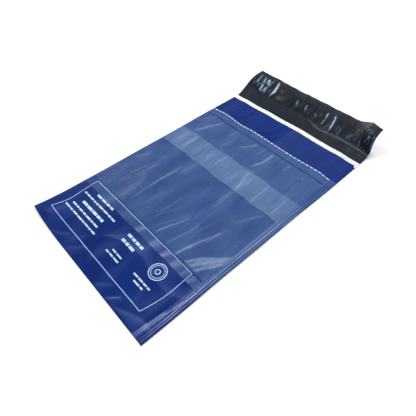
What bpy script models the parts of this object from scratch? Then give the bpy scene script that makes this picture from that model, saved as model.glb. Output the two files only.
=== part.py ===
# Poly mailer bag, lying flat and empty with its flap open. Metres, +Z up.
# The origin is the middle of the body's underside, and +Y runs from the bottom fold to the flap.
import math

import bmesh
import bpy
from mathutils import Vector

# The bag is one length of film, folded at the bottom and welded along both sides
BAG_WIDTH = 0.200  # over both welded edges
BODY_LENGTH = 0.311  # bottom fold to mouth edge
FLAP_LENGTH = 0.054  # mouth edge to flap edge, along the film
FILM = 0.00025
MOUTH_GAP = 0.0003  # between the two panels as they lie
WHITE_MARGIN = 0.005  # unprinted edge of the front panel
WELD_WIDTH = 0.007
WELD_BEAD = 0.0002  # melted edge outside the film
WELD_STOP = 0.0005  # from the end of each weld to the mouth edge
WELD_RIBS = 2
RIB_HEIGHT = 0.0001

# Two clear films lie on the front panel and lap over each other as a document pocket
CLEAR_FILM = 0.0002
LAYER_GAP = 0.0003
LOWER_SEAL = 0.074  # bottom fold to the seal line of the lower film
LOWER_SKIRT = 0.011  # loose edge outside that seal
UPPER_SEAL = 0.258
UPPER_SKIRT = 0.009
POCKET_OPENING = 0.177  # bottom fold to the free edge of the upper film
POCKET_LAP = 0.035  # how far the upper film covers the lower one
LAP_RUN = 0.008  # length over which the upper film comes down past the lap
SEAL_WIDTH = 0.0016
SEAL_DEPTH = 0.0001

# Adhesive and its release liner on the inner face of the flap
LINER_INSET = 0.0065  # flap edge to liner, along the flap
LINER_WIDTH = 0.034
LINER_FILM = 0.0002
ADHESIVE_INSET = 0.013  # flap edge to adhesive
ADHESIVE_WIDTH = 0.020
ADHESIVE_FILM = 0.0002

# Slope of the flap in degrees at equal steps from the mouth to its edge
FLAP_SLOPES_LEFT = (20, 29, 32, 22, 6, -2)
FLAP_SLOPES_MIDDLE = (12, 18, 24, 22, 14, -6)
FLAP_SLOPES_RIGHT = (6, 14, 88, 96, 36, 0)
LEFT_REACH = 0.066  # how far each end's slope carries across the flap
RIGHT_REACH = 0.038

# Air between the panels lifts the front one
PILLOW_HEIGHT = 0.0010
PILLOW_RUN = 0.120  # bottom fold to its full height

# Soft folds: height, distance from crest to crest across the bag, and lean along it
PANEL_FOLD = (0.0009, 0.052, 0.16)
LOWER_FOLD = (0.0007, 0.031, -0.20)
UPPER_FOLD = (0.0006, 0.027, 0.24)
FLAP_CRINKLE = (0.0006, 0.017, 0.12)
LINER_CRINKLE = (0.0007, 0.023, -0.30)
FOLD_FADE = 0.014  # run from a weld or seal to the full height of a fold

# The corner at the left end of the bottom fold is curled up and drawn in
CORNER_REACH_ACROSS = 0.060
CORNER_REACH_ALONG = 0.050
CORNER_LIFT = 0.0035
CORNER_DRAW = 0.0030

# Mesh steps
COLUMN_STEP = 0.0075
ROW_STEP = 0.024
CORNER_STEP = 0.010
CURL_STEP = 0.005
FLAP_STEP = 0.0045
BEND_STEPS = 6
SLOPE_STEPS = 24
PROBE = 0.0005

COLORS = {
    "printed_film": ((0.018, 0.040, 0.215, 1), 0.32, 1.0),
    "black_film": ((0.016, 0.017, 0.020, 1), 0.30, 1.0),
    "white_film": ((0.85, 0.88, 0.90, 1), 0.35, 1.0),
    "clear_film": ((0.40, 0.47, 0.66, 1), 0.20, 0.35),
    "adhesive": ((0.07, 0.07, 0.05, 1), 0.45, 1.0),
    "liner_film": ((0.30, 0.34, 0.38, 1), 0.12, 0.45),
}

FILM_EDGE = BAG_WIDTH / 2 - WELD_BEAD
BEND_RADIUS = (FILM + MOUTH_GAP) / 2
BEND_CENTER = BEND_RADIUS + FILM / 2
LOWER_START = LOWER_SEAL - LOWER_SKIRT
LOWER_END = POCKET_OPENING + POCKET_LAP
UPPER_END = UPPER_SEAL + UPPER_SKIRT
LINER_END = FLAP_LENGTH - LINER_INSET
LINER_START = LINER_END - LINER_WIDTH
ADHESIVE_END = FLAP_LENGTH - ADHESIVE_INSET
ADHESIVE_START = ADHESIVE_END - ADHESIVE_WIDTH


def smooth(share):
    share = min(1, max(0, share))
    return share * share * (3 - 2 * share)


def split(keys, step):
    """Every key in order, with steps between them no longer than step."""
    keys = sorted({round(key, 7) for key in keys})
    stations = keys[:1]
    for low, high in zip(keys, keys[1:]):
        count = max(1, math.ceil((high - low) / step))
        stations += [low + (high - low) * k / count for k in range(1, count + 1)]
    return stations


def fold(x, along, size):
    """Height of a soft fold that leans along the bag, between zero and its crest."""
    height, pitch, lean = size
    turn = 2 * math.pi * (x + lean * along) / pitch
    sway = 0.9 * math.sin(0.37 * turn)
    return height * (0.5 + 0.5 * math.sin(turn + sway)) ** 1.5


def weld_fade(x):
    return smooth((FILM_EDGE - WELD_WIDTH - abs(x)) / FOLD_FADE)


def weld_rib(x):
    """Pressed ribs that run along each side weld."""
    across = (FILM_EDGE - abs(x)) / WELD_WIDTH
    if across <= 0 or across >= 1:
        return 0
    turn = across * WELD_RIBS
    return RIB_HEIGHT * (1 - abs(2 * (turn - math.floor(turn)) - 1))


def corner_bend(x, along):
    across = (x + BAG_WIDTH / 2) / CORNER_REACH_ACROSS
    reach = max(0, 1 - across - along / CORNER_REACH_ALONG)
    return reach * reach


def lay(x, along, height):
    """A point of the body, given its distance from the bottom fold and its height."""
    bend = corner_bend(x, along)
    y = along - BODY_LENGTH / 2 + CORNER_DRAW * bend
    return Vector((x, y, height + CORNER_LIFT * bend))


def pillow(x, along):
    """Lift of the front panel, highest along its middle."""
    across = 1 - abs(x) / (FILM_EDGE - WELD_WIDTH)
    return PILLOW_HEIGHT * smooth(across) * smooth((along - BEND_CENTER) / PILLOW_RUN)


def front_height(x, along):
    rise = fold(x, along, PANEL_FOLD) * weld_fade(x) * smooth((along - BEND_CENTER) / FOLD_FADE)
    rise += pillow(x, along)
    return FILM / 2 + 2 * BEND_RADIUS + weld_rib(x) + rise


def seal_groove(along, seal):
    return SEAL_DEPTH * max(0, 1 - abs(along - seal) / (SEAL_WIDTH / 2))


def lower_height(x, along):
    rise = fold(x, along, LOWER_FOLD) * weld_fade(x) * smooth((along - LOWER_SEAL) / FOLD_FADE)
    stack = (FILM + CLEAR_FILM) / 2 + LAYER_GAP
    return front_height(x, along) + stack + rise - seal_groove(along, LOWER_SEAL)


def upper_height(x, along):
    loose = smooth((UPPER_SEAL - along) / FOLD_FADE)
    over = 1 - smooth((along - LOWER_END) / LAP_RUN)
    rise = fold(x, along, UPPER_FOLD) * weld_fade(x) * loose
    rise += over * (CLEAR_FILM + LAYER_GAP + fold(x, along, LOWER_FOLD) * weld_fade(x))
    stack = (FILM + CLEAR_FILM) / 2 + LAYER_GAP
    return front_height(x, along) + stack + rise - seal_groove(along, UPPER_SEAL)


def flap_slope(x, share):
    """Slope of the flap in radians, blended from one end of the mouth to the other."""
    left = 1 - smooth((x + BAG_WIDTH / 2) / LEFT_REACH)
    right = 1 - smooth((BAG_WIDTH / 2 - x) / RIGHT_REACH)
    place = min(1, max(0, share)) * (len(FLAP_SLOPES_MIDDLE) - 1)
    k = min(int(place), len(FLAP_SLOPES_MIDDLE) - 2)
    rows = (FLAP_SLOPES_LEFT, FLAP_SLOPES_MIDDLE, FLAP_SLOPES_RIGHT)
    slopes = [row[k] + (row[k + 1] - row[k]) * (place - k) for row in rows]
    return math.radians(left * slopes[0] + (1 - left - right) * slopes[1] + right * slopes[2])


def flap_middle(x, out):
    """A point halfway through the flap's film, at a distance out from the mouth along it."""
    y = BODY_LENGTH / 2
    z = FILM / 2
    for k in range(SLOPE_STEPS):
        share = (k + 0.5) / SLOPE_STEPS
        slope = flap_slope(x, share * out / FLAP_LENGTH)
        y += math.cos(slope) * out / SLOPE_STEPS
        z += math.sin(slope) * out / SLOPE_STEPS
    return Vector((x, y, z))


def flap_point(x, out, above=0.0):
    """A point of the crinkled flap, at a distance above the middle of its film."""
    across = flap_middle(x + PROBE, out) - flap_middle(x - PROBE, out)
    outward = flap_middle(x, out + PROBE) - flap_middle(x, out - PROBE)
    normal = across.cross(outward).normalized()
    crinkle = fold(x, out, FLAP_CRINKLE) * weld_fade(x) * smooth(out / LINER_START)
    return flap_middle(x, out) + normal * (crinkle + above)


def make_material(name):
    color, roughness, alpha = COLORS[name]
    material = bpy.data.materials.new(name)
    material.use_nodes = True
    shader = material.node_tree.nodes["Principled BSDF"]
    shader.inputs["Base Color"].default_value = color
    shader.inputs["Roughness"].default_value = roughness
    shader.inputs["Metallic"].default_value = 0.0
    shader.inputs["Alpha"].default_value = alpha
    return material


def make_sheet(name, columns, rows, place, turned=()):
    """A sheet of film through its middle: place gives each point from its column and row.
    The rows in turned run the other way along the bag, so their squares are split the other way."""
    bm = bmesh.new()
    across = len(columns) - 1
    along = len(rows) - 1
    bmesh.ops.create_grid(bm, x_segments=across, y_segments=along, size=0.5)
    square_row = {}
    for face in bm.faces:
        square_row[face] = int((face.calc_center_median().y + 0.5) * along)
    for vert in bm.verts:
        column = round((vert.co.x + 0.5) * across)
        row = round((vert.co.y + 0.5) * along)
        vert.co = place(columns[column], rows[row])
    back = [face for face, row in square_row.items() if row in turned]
    ahead = [face for face, row in square_row.items() if row not in turned]
    bmesh.ops.triangulate(bm, faces=ahead, quad_method="FIXED")
    bmesh.ops.triangulate(bm, faces=back, quad_method="ALTERNATE")
    mesh = bpy.data.meshes.new(name)
    bm.to_mesh(mesh)
    bm.free()
    return bpy.data.objects.new(name, mesh)


def thicken(piece, thickness):
    solidify = piece.modifiers.new("film_thickness", "SOLIDIFY")
    solidify.thickness = thickness
    solidify.offset = 0.0
    solidify.use_even_offset = True
    return solidify


def film_columns():
    inner = FILM_EDGE - WELD_WIDTH
    ribs = [inner + WELD_WIDTH * k / (2 * WELD_RIBS) for k in range(2 * WELD_RIBS + 1)]
    curl = split([BAG_WIDTH / 2 - RIGHT_REACH, inner], CURL_STEP)
    return split([-x for x in ribs] + curl + ribs, COLUMN_STEP)


def body_rows():
    corner = split([BEND_CENTER, CORNER_REACH_ALONG], CORNER_STEP)
    seals = [LOWER_SEAL + SEAL_WIDTH / 2 * k for k in (-1, 0, 1)]
    seals += [UPPER_SEAL + SEAL_WIDTH / 2 * k for k in (-1, 0, 1)]
    edges = [LOWER_START, LOWER_END, POCKET_OPENING, LOWER_END + LAP_RUN, UPPER_END]
    mouth = [BODY_LENGTH - WHITE_MARGIN, BODY_LENGTH]
    return split(corner + seals + edges + mouth, ROW_STEP)


def flap_rows():
    edges = [0, LINER_START, LINER_END, FLAP_LENGTH]
    edges += [ADHESIVE_START, ADHESIVE_END]
    return split(edges, FLAP_STEP)


def middles(stations):
    return [(low + high) / 2 for low, high in zip(stations, stations[1:])]


def between(rows, low, high):
    return [row for row in rows if low - PROBE / 100 <= row <= high + PROBE / 100]


def film_place(x, row):
    """The folded film from the flap's edge down the back, round the fold and up the front."""
    stretch, at = row
    if stretch == "flap":
        return flap_point(x, at)
    if stretch == "back":
        return lay(x, at, FILM / 2)
    if stretch == "bend":
        along = BEND_CENTER - BEND_RADIUS * math.sin(at)
        rib = weld_rib(x) * smooth(at / math.pi)
        return lay(x, along, BEND_CENTER - BEND_RADIUS * math.cos(at) + rib)
    return lay(x, at, front_height(x, at))


def weld_place(x, along):
    return lay(x, along, BEND_CENTER + weld_rib(x) / 2)


def make_bag_film(collection, cutters):
    columns = film_columns()
    body = body_rows()
    rows = [("flap", out) for out in reversed(flap_rows())]
    rows += [("back", along) for along in reversed(body[:-1])]
    bends = [math.pi * k / BEND_STEPS for k in range(1, BEND_STEPS)]
    rows += [("bend", angle) for angle in bends]
    rows += [("front", along) for along in body]
    turned = [k for k, row in enumerate(rows) if row[0] in ("flap", "back")]
    bag = make_sheet("bag_film", columns, rows, film_place, turned)
    for name in ("printed_film", "black_film", "white_film", "black_film"):
        bag.data.materials.append(bpy.data.materials[name])
    margin = BODY_LENGTH / 2 - WHITE_MARGIN
    for face in bag.data.polygons:
        if margin < face.center.y < BODY_LENGTH / 2 and face.center.z > BEND_CENTER:
            face.material_index = 2
    skin = thicken(bag, FILM)
    skin.material_offset = 1
    collection.objects.link(bag)
    weld_rows = [BEND_CENTER - 0.7 * BEND_RADIUS] + middles(body) + [BODY_LENGTH - WELD_STOP]
    for side, name in ((-1, "left_weld"), (1, "right_weld")):
        ribs = [x for x in columns if side * x > FILM_EDGE - WELD_WIDTH - PROBE / 100]
        edge = sorted(middles(ribs) + [side * BAG_WIDTH / 2])
        weld = make_sheet(name, edge, weld_rows, weld_place)
        weld.data.materials.append(bpy.data.materials["printed_film"])
        thicken(weld, 2 * BEND_RADIUS)
        weld.hide_render = True
        weld.display_type = "WIRE"
        cutters.objects.link(weld)
        join = bag.modifiers.new(name, "BOOLEAN")
        join.operation = "UNION"
        join.solver = "EXACT"
        join.object = weld
    return bag


def make_layer(name, rows, place, thickness, material, collection):
    layer = make_sheet(name, film_columns(), rows, place)
    layer.data.materials.append(bpy.data.materials[material])
    thicken(layer, thickness)
    collection.objects.link(layer)
    return layer


def lower_place(x, along):
    return lay(x, along, lower_height(x, along))


def upper_place(x, along):
    return lay(x, along, upper_height(x, along))


def adhesive_place(x, out):
    return flap_point(x, out, (FILM + ADHESIVE_FILM) / 2 + LAYER_GAP)


def liner_place(x, out):
    edge = min(out - LINER_START, LINER_END - out)
    crinkle = fold(x, out, LINER_CRINKLE) * weld_fade(x) * smooth(0.3 + edge / FOLD_FADE)
    stack = FILM / 2 + LAYER_GAP + ADHESIVE_FILM + LAYER_GAP + LINER_FILM / 2
    return flap_point(x, out, stack + crinkle)


def build():
    for item in list(bpy.data.objects):
        bpy.data.objects.remove(item)
    bag_parts = bpy.data.collections.new("poly_mailer_bag")
    cutters = bpy.data.collections.new("cutters")
    bpy.context.scene.collection.children.link(bag_parts)
    bpy.context.scene.collection.children.link(cutters)
    for name in COLORS:
        make_material(name)
    make_bag_film(bag_parts, cutters)
    body = body_rows()
    flap = flap_rows()
    lower = between(body, LOWER_START, LOWER_END)
    upper = between(body, POCKET_OPENING, UPPER_END)
    adhesive = between(flap, ADHESIVE_START, ADHESIVE_END)
    liner = between(flap, LINER_START, LINER_END)
    make_layer("lower_pocket_film", lower, lower_place, CLEAR_FILM, "clear_film", bag_parts)
    make_layer("upper_pocket_film", upper, upper_place, CLEAR_FILM, "clear_film", bag_parts)
    make_layer("adhesive_strip", adhesive, adhesive_place, ADHESIVE_FILM, "adhesive", bag_parts)
    make_layer("release_liner", liner, liner_place, LINER_FILM, "liner_film", bag_parts)


build()
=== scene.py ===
import bmesh
import bpy
import numpy as np
from mathutils import Matrix, Vector
from mathutils.bvhtree import BVHTree


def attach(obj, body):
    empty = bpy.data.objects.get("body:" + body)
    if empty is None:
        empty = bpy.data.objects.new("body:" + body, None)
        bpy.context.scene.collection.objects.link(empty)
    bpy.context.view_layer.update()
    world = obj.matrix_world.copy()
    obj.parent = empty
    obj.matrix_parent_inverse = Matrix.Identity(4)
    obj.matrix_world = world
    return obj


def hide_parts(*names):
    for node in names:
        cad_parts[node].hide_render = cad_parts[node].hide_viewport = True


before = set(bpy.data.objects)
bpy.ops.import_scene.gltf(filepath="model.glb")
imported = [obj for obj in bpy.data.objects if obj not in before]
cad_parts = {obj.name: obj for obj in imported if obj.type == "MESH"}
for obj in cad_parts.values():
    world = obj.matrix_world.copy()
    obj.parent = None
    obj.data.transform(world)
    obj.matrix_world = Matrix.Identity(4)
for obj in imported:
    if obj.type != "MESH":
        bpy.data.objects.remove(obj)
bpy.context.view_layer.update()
mm = 0.001

# Lengths are in millimetres, except where a note says metres. x runs across the bag
# from its middle, and along runs from the bottom fold. On the flap, out runs from the
# mouth edge.
bag = {
    "width": 199.6,
    "body": 311.0,
    "flap": 54.0,
    "film": 0.12,
    "rest": 0.08,  # the floor to the middle of the back film
    "panelGap": 0.55,  # middle of the back film to middle of the front film
    "bendStart": 0.4,  # how far along the panels the bottom bend begins
    "bendSteps": 8,
    "whiteMargin": 6.6,
    "whiteEnd": (97.4, 9.4),  # the margin is deeper past this place across
    "weld": 7.0,
    "weldRibs": 3,
    "ribHeight": 0.16,
    "pillow": 1.0,  # air between the two panels, the run from the fold to it, and its half width
    "pillowRun": 120.0,
    "pillowHalf": 93.0,
    "folds": (0.7, 52.0, 0.16),  # height, pitch and lean of the broad folds
    "fade": 14.0,  # run from a weld to the full height of a wrinkle
    "cell": 1.6,
    "weldCell": 0.36,  # finer columns over the pressed lines of the right weld
    "backCell": 9.0,
}
corner = {"across": 60.0, "along": 50.0, "lift": 3.5, "draw": 3.0}
pocket = {
    "film": 0.06,
    "lift": 0.16,  # middle of the front film to middle of a clear film
    "layer": 0.12,  # clear film to clear film in the lap
    "cell": 1.0,
    "veil": 2.6,  # how much each face of a clear film hides
    "lowerStart": 64.3,
    "lowerSeal": 74.8,
    "lapStart": 175.4,
    "lapEnd": 209.2,
    "lapRun": 8.0,
    "lapRow": 0.8,  # a row of its own beside each edge of the lap
    "upperSeal": 253.6,
    "upperEnd": 265.9,
    "upperWave": (  # how the films' free edges wander: place across and shift
        *((-100, 0.0), (-78, 1.9), (-41, -1.7), (-20, 0.7)),
        *((28, -2.3), (68, 1.3), (93, -1.4), (100, -1.2)),
    ),
    "lapWave": ((-100, 0.6), (-40, 0.0), (0, -1.0), (40, -0.8), (60, -0.3), (100, 0.6)),
    "lowerWave": ((-100, 1.4), (-80, 1.9), (-50, 0.5), (0, -0.8), (30, -1.2), (60, 0.3), (100, 1.3)),
    "lowerFolds": (0.5, 31.0, -0.20),  # height, pitch and lean
    "upperFolds": (0.4, 27.0, 0.24),
    "lowerLine": 0.40,  # how high a soft line of strength 1 stands
    "upperLine": 0.55,
    "sealWidth": 1.6,
    "sealLine": 0.6,  # half the width in which a film lies tight on its seal
    "sealDepth": 0.08,
}
flap = {
    "left": (20, 29, 32, 22, 6, -2),  # slopes in degrees at equal steps from the mouth
    "middle": (12, 18, 24, 22, 14, -6),
    "right": (6, 14, 88, 96, 36, 0),
    "leftReach": 66.0,
    "rightReach": 38.0,
    "linerStart": 13.5,
    "linerEnd": 47.5,
    "adhesiveStart": 21.0,
    "adhesiveEnd": 41.0,
    "adhesiveLift": 0.18,
    "linerLift": 0.34,
    "adhesiveFilm": 0.10,
    "linerFilm": 0.05,
    "folds": (0.4, 17.0, 0.12),
    "steps": 24,
    "row": 1.3,
    "cell": 0.8,
}


def smooth(share):
    share = np.clip(share, 0.0, 1.0)
    return share * share * (3 - 2 * share)


def stations(keys, step):  # every key, with steps between them no longer than step
    keys = sorted({round(float(key), 4) for key in keys})
    found = keys[:1]
    for low, high in zip(keys, keys[1:]):
        count = max(1, int(np.ceil((high - low) / step - 1e-6)))
        found += [low + (high - low) * k / count for k in range(1, count + 1)]
    return np.array(found)


def softFold(x, along, height, pitch, lean):  # broad folds that lean along the film
    turn = 2 * np.pi * (x + lean * along) / pitch
    return height * (0.5 + 0.5 * np.sin(turn + 0.9 * np.sin(0.37 * turn))) ** 1.5


def ripples(x, along, seed, pitchLow, pitchHigh, spread):  # fine film texture, about -1 to 1
    count = 9
    draw = np.random.default_rng(seed)
    total = np.zeros_like(x)
    for _ in range(count):
        pitch = draw.uniform(pitchLow, pitchHigh)
        lean = draw.normal(0, spread)
        turn = 2 * np.pi * (x * np.cos(lean) + along * np.sin(lean)) / pitch
        swell = 0.6 + 0.4 * np.sin(along / (3.1 * pitch) + draw.uniform(0, 6.28))
        total += swell * np.sin(turn + draw.uniform(0, 6.28))
    return total / np.sqrt(count)


def ridges(x, along, table):  # creases: x0, along0, x1, along1, width, height and sideways bow
    total = np.zeros_like(x)
    for x0, a0, x1, a1, width, height, bow in table:
        length = np.hypot(x1 - x0, a1 - a0)
        share = ((x - x0) * (x1 - x0) + (along - a0) * (a1 - a0)) / length**2
        side = ((x - x0) * (a1 - a0) - (along - a0) * (x1 - x0)) / length
        inside = np.clip(share, 0, 1)
        side = side - 4 * bow * inside * (1 - inside)
        taper = smooth(np.clip(4 * inside * (1 - inside), 0, 1))
        total += height * taper / (1 + (side / width) ** 2) ** 2
    return total


def curve(points):  # a line with its corners rounded
    line = np.array(points, float)
    for _ in range(2):
        near = 0.75 * line[:-1] + 0.25 * line[1:]
        far = 0.25 * line[:-1] + 0.75 * line[1:]
        cut = np.stack([near, far], axis=1).reshape(-1, 2)
        line = np.vstack([line[:1], cut, line[-1:]])
    return line


def strokes(x, along, table):  # long soft lines: height, width on the left and right, then places
    total = np.zeros_like(x)
    for height, left, right, *points in table:
        line = curve(points)
        lean = np.interp(along, line[:, 1], np.gradient(line[:, 0], line[:, 1]))
        side = (x - np.interp(along, line[:, 1], line[:, 0])) / np.sqrt(1 + lean**2)
        share = (along - line[0, 1]) / (line[-1, 1] - line[0, 1])
        ends = smooth(share / 0.2) * smooth((1 - share) / 0.2)
        total += height * ends / (1 + (side / np.where(side < 0, left, right)) ** 2) ** 2
    return total


def waveOf(x, table):  # a rounded line through its places: across, then shift
    line = curve(table)
    return np.interp(x, line[:, 0], line[:, 1])


def spot(x, along, place, size):  # a soft round patch
    return np.exp(-(((x - place[0]) / size[0]) ** 2) - ((along - place[1]) / size[1]) ** 2)


def scattered(seed, count, area, lengths, widths, heights, lean):  # a random table of creases
    draw = np.random.default_rng(seed)
    table = []
    for _ in range(count):
        x0 = draw.uniform(area[0], area[1])
        a0 = draw.uniform(area[2], area[3])
        length = draw.uniform(*lengths)
        turn = draw.normal(lean[0], lean[1])
        bow = draw.normal(0, 0.06) * length
        ends = (x0, a0, x0 + length * np.sin(turn), a0 + length * np.cos(turn))
        table.append((*ends, draw.uniform(*widths), draw.uniform(*heights), bow))
    return table


def weldFade(x):  # 0 on the welds and 1 well inside them
    return smooth((bag["width"] / 2 - bag["weld"] - abs(x)) / bag["fade"])


def weldRib(x, along):
    across = (bag["width"] / 2 - abs(x)) / bag["weld"]
    wander = 0.25 * np.sin(along / 17.0 + np.sign(x)) + 0.15 * np.sin(along / 5.3)
    rib = np.sin(np.pi * bag["weldRibs"] * across + wander) ** 2
    return bag["ribHeight"] * rib * np.clip(4 * across * (1.15 - across), 0, 1)


def cornerBend(x, along):  # how much the corner at the left end of the bottom fold is lifted
    reach = 1 - (x + bag["width"] / 2) / corner["across"] - along / corner["along"]
    return np.clip(reach, 0, 1) ** 2


def lay(x, along, height):  # a place on the body, in millimetres of the part's own frame
    bend = cornerBend(x, along)
    wander = 0.35 * np.sin(along / 23.0) * np.sin(along / 61.0 + 1) * (x / 100) ** 3
    y = along - bag["body"] / 2 + corner["draw"] * bend
    return np.stack([x + wander, y, height + corner["lift"] * bend], axis=-1)


# Creases of the printed panel: place across and along at both ends, width, height and bow
panelCreases = [
    (-24, 28, -2, 64, 4.5, 0.35, 1.0),
    (-40, 2, -22, 34, 4.0, 0.4, 1.5),
    (70, 4, 60, 44, 4.5, 0.4, -3.0),
    (84, 6, 80, 60, 3.0, 0.5, -1.5),
    (20, 4, 26, 50, 5.0, 0.2, 2.0),
    (48, 30, 30, 62, 4.0, 0.3, 2.0),
    (-66, 6, -60, 44, 4.0, 0.4, 1.0),
    (-60, 268, -56, 309, 4.0, 0.5, 1.0),
    (-12, 266, -4, 312, 5.0, 0.6, -1.0),
    (38, 262, 45, 306, 4.0, 0.5, 1.0),
    (74, 268, 82, 312, 4.0, 0.6, -1.0),
] + scattered(11, 26, (-88, 84, 8, 300), (14, 46), (1.8, 3.6), (0.08, 0.28), (0.1, 0.35))

# Soft lines of the clear films, raised in the film and painted as highlights in its haze: height, width
# on the left and right, then places across and along
lowerStrokes = [
    (0.45, 0.9, 1.5, (-38.8, 77), (-38.6, 95), (-39.9, 118), (-40.2, 138), (-39.9, 158)),
    (0.45, 0.7, 1.0, (-39.9, 111), (-40.3, 126), (-39.8, 141)),
    (0.34, 7.0, 4.0, (-47, 72), (-48, 90), (-51, 106), (-56, 122)),
    (0.30, 1.2, 1.8, (-24, 84), (-22.8, 104), (-22.4, 122)),
    (0.50, 0.8, 1.1, (-4.4, 88), (-2.2, 98), (-0.7, 108), (-0.6, 122), (-1, 132)),
    (0.75, 0.9, 1.9, (15.4, 76), (17.5, 86), (21, 96), (24.6, 106), (26.4, 119)),
    (0.25, 0.8, 1.3, (9, 83), (14, 95), (20, 107), (24.3, 120)),
    (0.42, 1.0, 2.0, (33.4, 75), (36.5, 88), (39.3, 104), (40.6, 119)),
    (0.80, 1.1, 2.3, (50, 72), (52, 86), (55.5, 100), (58, 108), (61, 118), (64, 131)),
    (0.60, 0.9, 1.8, (49.2, 72), (51.4, 83), (54.6, 96)),
    (0.40, 0.8, 1.3, (15, 74), (17.2, 85), (20.6, 96)),
    (0.50, 1.0, 2.0, (30.6, 139), (33, 147), (33.4, 153), (31, 163), (29, 177)),
    (0.30, 3.0, 3.0, (31, 148), (29, 160), (27.5, 177)),
    (0.40, 1.2, 2.4, (59.5, 138), (63.5, 147), (67.7, 156), (73, 166), (77, 178)),
    (0.22, 1.6, 2.6, (10, 138), (9.4, 150), (9.8, 162)),
    (0.25, 8.0, 8.0, (-33, 146), (-29, 162), (-30, 178)),
    (0.28, 2.0, 3.0, (-95, 126), (-89, 136), (-83, 147)),
]
lowerCreases = scattered(23, 60, (-90, 88, 78, 200), (16, 52), (0.6, 1.5), (0.04, 0.20), (0.10, 0.16))
upperStrokes = [
    (0.55, 2.2, 2.8, (-83, 210), (-77, 221), (-71, 233.7), (-67.5, 243), (-64.6, 253)),
    (0.42, 1.2, 1.7, (-43.8, 234), (-41, 243), (-38.6, 253)),
    (0.42, 1.2, 2.3, (-18, 229), (-12.5, 236), (-8.5, 243), (-4.6, 251.5)),
    (0.90, 1.3, 1.7, (17, 215), (19.5, 224), (21.8, 232), (22.1, 243), (21.6, 253)),
    (0.35, 1.2, 1.5, (46.9, 235), (46.3, 244), (46.7, 253)),
    (0.30, 1.4, 2.3, (-34.8, 211), (-33, 222), (-30.8, 232)),
    (0.90, 0.9, 0.9, (69.8, 240), (70.3, 247)),
    (0.28, 1.5, 2.2, (-95.5, 230), (-91, 239), (-86, 249)),
    (0.22, 1.0, 1.3, (8, 234), (8.2, 252)),
    (0.30, 0.7, 0.9, (-50.5, 175), (-50, 192), (-50.3, 208)),
    (0.22, 0.6, 0.8, (-52.6, 178), (-52.2, 207)),
    (0.28, 1.0, 1.5, (-38, 175), (-35, 187), (-32.5, 196), (-34.5, 208)),
    (0.26, 0.9, 1.2, (-28, 176), (-30, 190), (-26, 205)),
    (0.24, 0.8, 1.2, (-17, 176), (-19, 192), (-17.5, 208)),
    (0.24, 0.9, 1.1, (-12, 176), (-10.5, 190), (-13, 208)),
    (0.62, 2.2, 3.2, (31.5, 173), (29, 184), (25.8, 194), (23.4, 202), (22.8, 211)),
    (0.62, 1.0, 1.4, (52.4, 174), (52.6, 190), (52, 210)),
    (0.40, 1.2, 1.8, (79.7, 175), (79.8, 192), (78.6, 209)),
    (0.28, 1.0, 1.6, (-85, 176), (-85.4, 208)),
    (0.26, 1.0, 1.3, (-75, 177), (-76, 209)),
    (0.16, 1.2, 1.7, (-66, 175), (-65.6, 210)),
]
upperCreases = scattered(37, 50, (-90, 88, 182, 246), (10, 40), (0.6, 1.5), (0.04, 0.20), (0.14, 0.20))
lapRipples = scattered(41, 64, (-94, 40, 172, 186), (26, 40), (0.7, 1.3), (0.08, 0.24), (0.0, 0.07))

# Lines of painted sheen on the print, and the lower edge of the place where it is painted as catching
# the light
paintedSheen = [
    (0.10, 3.0, 5.0, (22, 48), (25, 60), (27, 80)),
    (0.34, 0.8, 1.4, (43, 1), (47, 6), (53.5, 13)),
    (0.20, 1.2, 8.0, (54, 1), (68, 8), (88, 16)),
    (0.12, 1.0, 4.0, (-62, 0), (-50, 8), (-41, 15)),
    (0.10, 1.0, 4.0, (-31, 1), (-24, 10), (-18, 18)),
    (0.12, 1.0, 4.0, (22, 0), (30, 8), (38, 16)),
    (0.08, 2.0, 6.0, (-88, 6), (-82, 20), (-80, 36)),
    (
        *(0.27, 3.6, 3.0, (91.6, 4), (92.4, 30), (94.2, 60)),
        *((93.5, 100), (93.8, 140), (94.2, 180), (94.6, 222)),
    ),
    (0.40, 0.5, 0.7, (94.0, 106), (94.6, 130), (94.7, 150), (94.2, 168), (94.6, 190), (95, 220)),
    (0.34, 0.6, 0.8, (92.8, 34), (93.4, 48), (94.4, 56), (95.0, 64), (94, 78)),
    (0.16, 0.5, 0.7, (96.4, 0), (95.6, 26), (95.0, 48)),
    (0.42, 0.8, 2.4, (86.4, -8), (87.6, 8), (88.4, 20), (90.2, 38)),
]
litEdge = ((-26, 28), (-13, 39), (-1, 45), (27, 51), (50, 44.5), (64, 43), (76, 42), (92, 50))
litLeft = ((28, -25), (58, -2.5), (70, 6))  # its left edge: along, then across
weldSheenTable = (  # painted highlights and shade along the pressed lines of the right weld: place across, width and level, below 0 for shade
    (89.9, 0.50, 0.7),
    (90.8, 0.35, -0.7),
    (91.6, 0.45, 1.0),
    (93.1, 0.35, -0.9),
    (94.5, 0.45, 1.0),
    (96.0, 0.40, -0.8),
    (97.1, 0.45, 1.0),
    (98.3, 0.35, -0.8),
    (99.4, 0.40, 0.8),
)


def weldSheen(x, along):  # painted highlights and shade of the weld's pressed lines; the inner line runs straight and the others wander
    total = 0.22 + 0.22 * ripples(x, 0.05 * along, 131, 0.9, 2.6, 0.6)
    total *= smooth((x - 89.5) / 1.0) * (0.75 + 0.25 * np.sin(along / 13.0) * np.sin(along / 37.0))
    for k, (place, width, level) in enumerate(weldSheenTable):
        wander = 0.30 * np.sin(along / 31.0) + 0.20 * np.sin(along / (11.0 + 4.3 * k) + 1.7 * k)
        flicker = 0.65 + 0.35 * np.sin(along / (6.3 + 2.9 * k) + 2.1 * k) * np.sin(along / 19.0 + k)
        total += level * flicker * np.exp(-(((x - place - wander * (k > 0)) / width) ** 2))
    crinkle = 0.20 * ripples(x, 0.12 * along, 137, 0.8, 1.9, 0.7)
    crinkle *= smooth((92 - along) / 30) * smooth((x - 87) / 4)
    return total * (0.75 + 0.5 * smooth((60 - along) / 60)) + crinkle


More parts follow.
